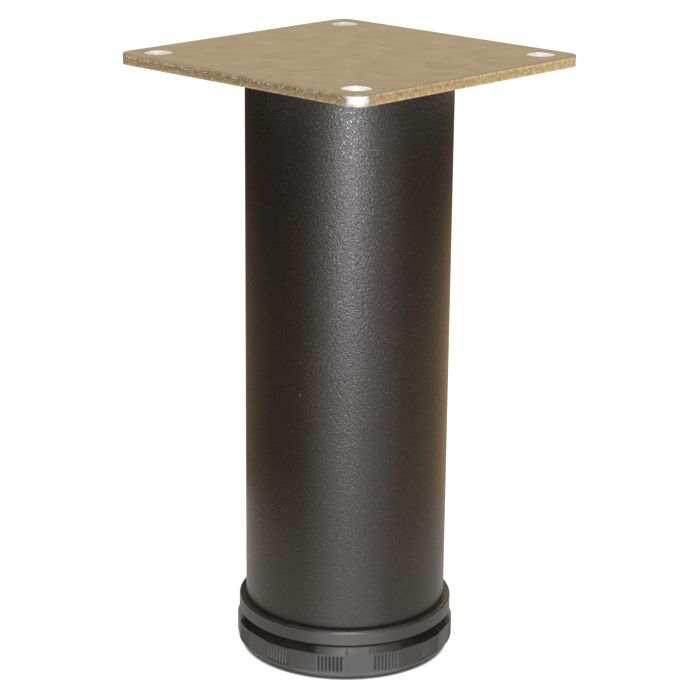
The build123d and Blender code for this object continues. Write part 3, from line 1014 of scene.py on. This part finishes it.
# flags keep the two front lamps off the plate, whose cut sides would mirror them
flagged = bpy.data.collections.new("flagged_from_front_lamps")
flagged.objects.link(screw_plate)
flagged.collection_objects[0].light_linking.link_state = "EXCLUDE"
for lamp in front_lamps:
    lamp.light_linking.receiver_collection = flagged

card_low, card_radius, card_steps = 14.8 * mm, 80.0 * mm, 48
card_fade_low, card_fade_high = 50.0 * mm, 123.0 * mm
over_inner, over_outer = 30.0 * mm, 400.0 * mm
over_azimuth, over_open = 54.0, 30.0


def staged_card(name, material, first_row, second_row):
    """A sheet of card between two rows of points, which only its reflections in the leg show."""
    bm = bmesh.new()
    rows = [[bm.verts.new(point) for point in row] for row in (first_row, second_row)]
    for step in range(len(first_row) - 1):
        bm.faces.new((rows[0][step], rows[0][step + 1], rows[1][step + 1], rows[1][step]))
    card = finished(bm, name, (material,), recalculate=False)
    card.visible_camera = card.visible_diffuse = card.visible_shadow = False


def card_azimuths(start, end):
    """Azimuths along a card, in even steps."""
    return [start + (end - start) * step / card_steps for step in range(card_steps + 1)]


def side_card(name, start, end, front_high, back_high, low_color, high_color, glow):
    """A matt warm card that glows a little, bent round one side of the leg; its top climbs over its first half."""
    material, tree, shader = new_material(name, Roughness=1.0, Specular_IOR_Level=0.0, Emission_Strength=glow)
    fading = ramped(tree, split(tree, object_place(tree))["Z"], card_fade_low, card_fade_high)
    card_color = blended(tree, fading, low_color, high_color)
    tree.links.new(card_color, shader["Base Color"])
    tree.links.new(card_color, shader["Emission Color"])
    low_row, high_row = [], []
    for step, azimuth in enumerate(card_azimuths(start, end)):
        climbed = min(1.0, 2 * step / card_steps)
        low_row.append(at_azimuth(azimuth, card_radius, card_low))
        high_row.append(at_azimuth(azimuth, card_radius, front_high + (back_high - front_high) * climbed))
    staged_card(name, material, low_row, high_row)


over_paint, over_tree, _ = new_material(
    "over_card", Base_Color=(0.03, 0.03, 0.03, 1), Roughness=1.0, Specular_IOR_Level=0.0,
)
one_sided(over_tree)
over_azimuths = card_azimuths(over_azimuth + over_open, over_azimuth + 360.0 - over_open)
over_rows = [
    [at_azimuth(azimuth, reach, card_low) for azimuth in over_azimuths] for reach in (over_inner, over_outer)
]
staged_card("card_over_foot", over_paint, *over_rows)
side_card("right_card", start=88.0, end=223.0, front_high=130.0 * mm, back_high=130.0 * mm,
          low_color=(1.0, 0.70, 0.41, 1), high_color=(0.17, 0.12, 0.07, 1), glow=0.32)
side_card("left_card", start=12.0, end=-137.0, front_high=129.0 * mm, back_high=143.0 * mm,
          low_color=(0.52, 0.364, 0.213, 1), high_color=(0.10, 0.07, 0.041, 1), glow=0.12)

# Camera
# Where the photograph was taken from: in front of one corner of the plate and a little above it, through a long
# lens. Its place was fitted to the outlines of the plate, the tube and the foot.
camera_azimuth = radians(43.20)
camera_distance, camera_height = 532.1 * mm, 239.5 * mm
camera_pitch, camera_roll, camera_aside = radians(17.031), radians(0.602), radians(0.075)
lens = bpy.data.cameras.new("photo_camera")
lens.sensor_width = 36.0
lens.lens = 116.22
lens.clip_start, lens.clip_end = 0.01, 50.0
camera = bpy.data.objects.new("photo_camera", lens)
ahead = Vector((sin(camera_aside) * cos(camera_pitch), cos(camera_aside) * cos(camera_pitch), -sin(camera_pitch)))
across = Vector((cos(camera_aside), -sin(camera_aside), 0))
upright = across.cross(ahead)
right_hand = cos(camera_roll) * across + sin(camera_roll) * upright
upward = cos(camera_roll) * upright - sin(camera_roll) * across
facing = Matrix((right_hand, upward, -ahead)).transposed().to_4x4()
stand = Matrix.Translation((0, -camera_distance, camera_height))
camera.matrix_world = Matrix.Rotation(camera_azimuth, 4, "Z") @ stand @ facing
bpy.context.scene.collection.objects.link(camera)
bpy.context.scene.camera = camera
bpy.context.scene.view_settings.view_transform = "Standard"
